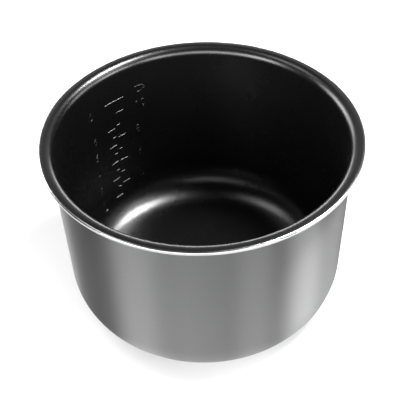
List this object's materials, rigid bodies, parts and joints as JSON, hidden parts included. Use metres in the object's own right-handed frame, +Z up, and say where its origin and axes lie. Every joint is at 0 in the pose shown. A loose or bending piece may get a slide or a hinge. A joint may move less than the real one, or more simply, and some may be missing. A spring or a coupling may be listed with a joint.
{
  "type": "pressure cooker inner pot",
  "caption": "Removable round inner pot of an electric pressure cooker: drawn aluminium with a turned flange, black non-stick inside, satin grey outside.",
  "frame": {"origin": "centre of the contact face that the pot stands on", "axes": "+Z up along the pot's axis, out of its mouth; the level marks of the finished model are on the inner wall in the -X, +Y quarter, and -Y is the side that faces the viewer"},
  "size_m": [0.24, 0.24, 0.15],
  "materials": {
    "bare_aluminium": "turned, fine lathe marks",
    "nonstick_black": "non-stick coating, fine grain, slight sheen",
    "satin_grey": "satin metallic heat-proof paint"
  },
  "bodies": {
    "root": {"pot_body": "bare_aluminium", "nonstick_lining": "nonstick_black", "outer_coating": "satin_grey"}
  },
  "joints": []
}
